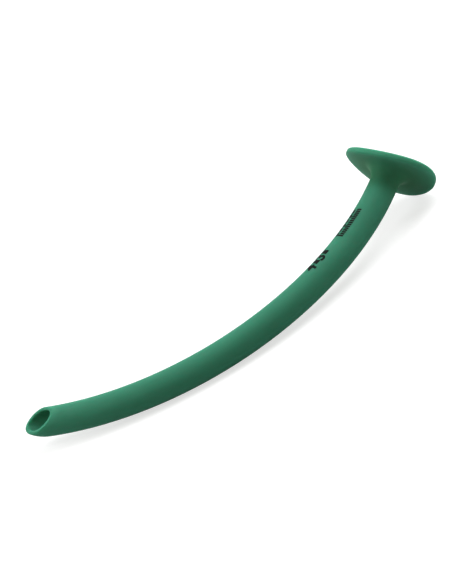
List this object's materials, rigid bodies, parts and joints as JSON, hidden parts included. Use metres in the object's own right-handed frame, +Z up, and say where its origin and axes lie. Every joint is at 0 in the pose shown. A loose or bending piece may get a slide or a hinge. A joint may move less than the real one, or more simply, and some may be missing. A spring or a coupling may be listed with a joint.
{
  "type": "nasopharyngeal airway",
  "caption": "Soft green nasopharyngeal airway: a curved thin-walled tube with a round bowed flange and a bevelled, rounded tip.",
  "frame": {"origin": "middle of the bounding box's underside, on the surface that the airway lies on", "axes": "+Z up, with the airway lying on its side; seen from above the tip points along -X, and the flange is at +X and +Y with its mouth facing +Y"},
  "size_m": [0.1256, 0.1044, 0.0275],
  "materials": {
    "soft_plastic": "satin",
    "print": "matte"
  },
  "bodies": {
    "root": {"airway": "soft_plastic"}
  },
  "joints": []
}
